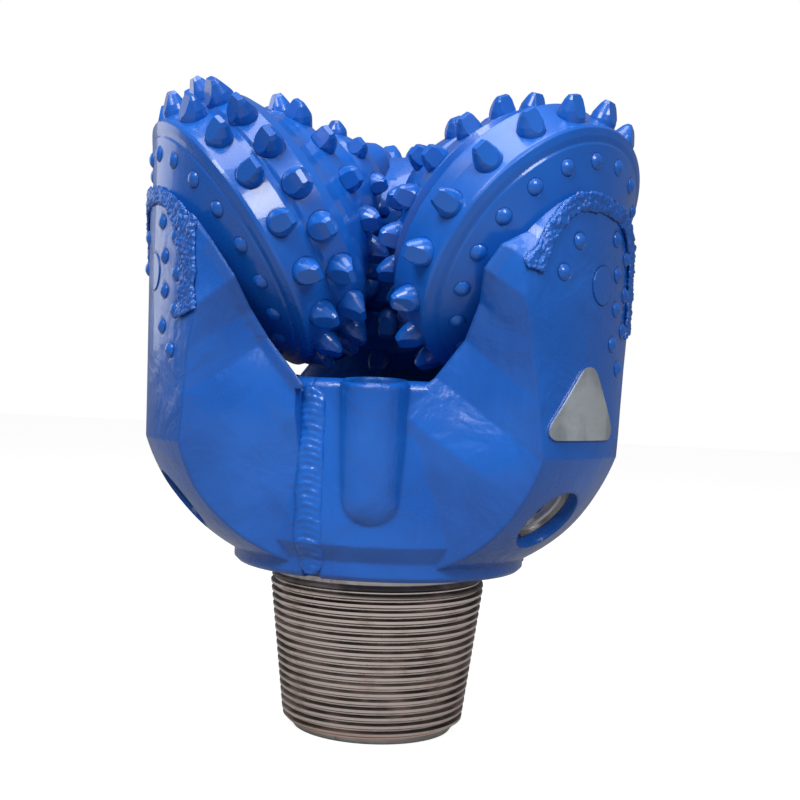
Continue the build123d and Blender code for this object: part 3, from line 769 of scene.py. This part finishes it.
@dataclass
class Studio:
    """Pale floor, soft lamps and the camera."""

    floor_z: float = 0.0
    azimuth: float = 10.5
    distance: float = 1.0216
    height: float = 0.2788
    pitch: float = -1.617
    roll: float = 2.413
    lens: float = 56.295
    shift: tuple = (0.0199, 0.0228)
    ambient: float = 0.34
    reflected: float = 0.20
    white: tuple = (1.0, 1.0, 1.0, 1.0)

    def build(self) -> None:
        """Makes the floor, the world, the lamps and the camera."""
        self._floor()
        self._world()
        self._lamps()
        self._camera()

    def _floor(self) -> None:
        """A white floor that keeps only a soft shadow."""
        bm = bmesh.new()
        bmesh.ops.create_grid(bm, x_segments=1, y_segments=1, size=6.0)
        mesh = bpy.data.meshes.new("floor")
        bm.to_mesh(mesh)
        bm.free()
        floor = bpy.data.objects.new("floor", mesh)
        floor.location.z = self.floor_z - 0.0002
        bpy.context.scene.collection.objects.link(floor)
        graph = Graph("floor_white")
        rays = graph.node("ShaderNodeLightPath", output="Is Camera Ray")
        glossy = Signal(graph, rays.socket.node.outputs["Is Glossy Ray"])
        graph.set(Base_Color=(0.30, 0.30, 0.30), Roughness=0.8, Specular_IOR_Level=0.1)
        graph.feed(graph.shader.inputs["Emission Color"], self.white)
        graph.feed(graph.shader.inputs["Emission Strength"], rays * 0.86 + glossy * 0.04)
        mesh.materials.append(graph.material)

    def _world(self) -> None:
        """White to the eye, dim in reflections and soft for the rest."""
        world = bpy.data.worlds.new("studio")
        bpy.context.scene.world = world
        world.use_nodes = True
        tree = world.node_tree
        tree.nodes.clear()
        path = tree.nodes.new("ShaderNodeLightPath")
        total = None
        for ray, strength in (("Is Camera Ray", 1.0), ("Is Diffuse Ray", self.ambient),
                              ("Is Glossy Ray", self.reflected)):
            share = tree.nodes.new("ShaderNodeMath")
            share.operation = "MULTIPLY_ADD"
            tree.links.new(path.outputs[ray], share.inputs[0])
            share.inputs[1].default_value = strength
            share.inputs[2].default_value = 0.0
            if total is not None:
                tree.links.new(total.outputs[0], share.inputs[2])
            total = share
        back = tree.nodes.new("ShaderNodeBackground")
        back.inputs["Color"].default_value = self.white
        tree.links.new(total.outputs[0], back.inputs["Strength"])
        out = tree.nodes.new("ShaderNodeOutputWorld")
        tree.links.new(back.outputs[0], out.inputs["Surface"])

    def _lamps(self) -> None:
        """Large soft lamps: left key, right fill, top, and a weak rim from the left rear."""
        self._lamp("key", (-0.55, -1.45, 1.65), (0.0, 0.0, 0.34), 0.8, 31.0)
        self._lamp("fill", (1.05, -1.25, 1.35), (0.0, 0.0, 0.34), 0.6, 19.0)
        self._lamp("top", (0.05, -0.35, 1.85), (0.0, 0.0, 0.4), 1.0, 16.0)
        self._lamp("rim", (-1.6, 0.75, 0.75), (0.0, 0.0, 0.3), 0.9, 3.5)

    @staticmethod
    def _lamp(name: str, place: tuple, target: tuple, size: float, power: float) -> None:
        """One square area lamp.

        Args:
            name: The lamp's name.
            place: Where it stands.
            target: What it points at.
            size: Its side.
            power: Its power in watts.
        """
        data = bpy.data.lights.new(name, "AREA")
        data.size = size
        data.energy = power
        lamp = bpy.data.objects.new(name, data)
        lamp.location = place
        aim = Vector(target) - Vector(place)
        lamp.rotation_euler = aim.to_track_quat("-Z", "Y").to_euler()
        bpy.context.scene.collection.objects.link(lamp)

    def _camera(self) -> None:
        """The view from in front, between two legs."""
        data = bpy.data.cameras.new("view")
        data.lens = self.lens
        data.sensor_width = 36.0
        data.shift_x, data.shift_y = self.shift
        data.clip_end = 20.0
        camera = bpy.data.objects.new("view", data)
        turn, tip = radians(self.azimuth), radians(self.pitch)
        ahead = Vector((-sin(turn) * cos(tip), cos(turn) * cos(tip), sin(tip)))
        side = Vector((cos(turn), sin(turn), 0.0))
        up = side.cross(ahead)
        basis = Matrix((side, up, -ahead)).transposed()
        basis = basis @ Matrix.Rotation(radians(self.roll), 3, "Z")
        place = Vector((sin(turn) * self.distance, -cos(turn) * self.distance, self.height))
        camera.matrix_world = Matrix.Translation(place) @ basis.to_4x4()
        bpy.context.scene.collection.objects.link(camera)
        bpy.context.scene.camera = camera


@dataclass
class DrillBit:
    """The bit: finishes for the CAD nodes, and the pieces that are drawn here."""

    enamel: Enamel = field(default_factory=Enamel)
    steel: MachinedSteel = field(default_factory=MachinedSteel)
    turns: dict = field(default_factory=lambda: {"right": -30.0, "back": 90.0, "left": 210.0})
    finishes: dict = field(default_factory=dict)

    def build(self) -> None:
        """Dresses the nodes and adds the pieces."""
        self.dress_nodes()
        self.add_pieces()

    def dress_nodes(self) -> None:
        """Gives each CAD node its material by its record slot."""
        finishes = {
            "cone_paint": self.enamel.material("cone_enamel", Paintwork.CONE),
            "painted_carbide": self.enamel.material("carbide_enamel", Paintwork.CARBIDE),
            "painted_hardfacing": self.enamel.material("hardfacing_enamel", Paintwork.HARDFACING),
            "painted_weld": self.enamel.material("weld_enamel", Paintwork.WELD),
            "bare_steel": self.steel.material("turned_steel"),
            "carbide": PlainFinish((0.20, 0.20, 0.21), 0.35, 1.0).material("ground_carbide"),
            "black_rubber": PlainFinish((0.018, 0.018, 0.018), 0.65).material("seal_rubber"),
            "bronze": PlainFinish((0.50, 0.32, 0.14), 0.30, 1.0).material("bearing_bronze"),
            "cap_steel": PlainFinish((0.50, 0.50, 0.52), 0.38, 0.9, 160.0,
                                     0.0003).material("cap_steel"),
        }
        leg = self.enamel.leg_material(self.steel)
        slots = {part["node"]: part["material_slot"] for part in frame["record"]["subparts"]}
        for name, piece in frame["nodes"].items():
            material = leg if name.startswith("leg_") else finishes.get(slots[name])
            if material is None:
                material = finishes["cone_paint"]
            piece.data.materials.clear()
            piece.data.materials.append(material)
        self.finishes = finishes

    def add_pieces(self) -> None:
        """Thread, badge, hardfacing and seam welds."""
        PinThread(material=ThreadSteel().material("thread_steel")).build()
        Badge(material=BrushedPlate().material("brushed_plate")).build()
        for side in self.turns:
            RoughBead(f"hardfacing_{side}", material=self.finishes["painted_hardfacing"]).build()
            SeamWeld(side, self.turns[side], material=self.finishes["painted_weld"]).build()


def main() -> None:
    """Builds the bit and the studio."""
    logging.basicConfig(level=logging.INFO, format="%(message)s")
    bpy.context.scene.view_settings.view_transform = "Standard"
    DrillBit().build()
    Studio().build()


if __name__ == "__main__":
    main()
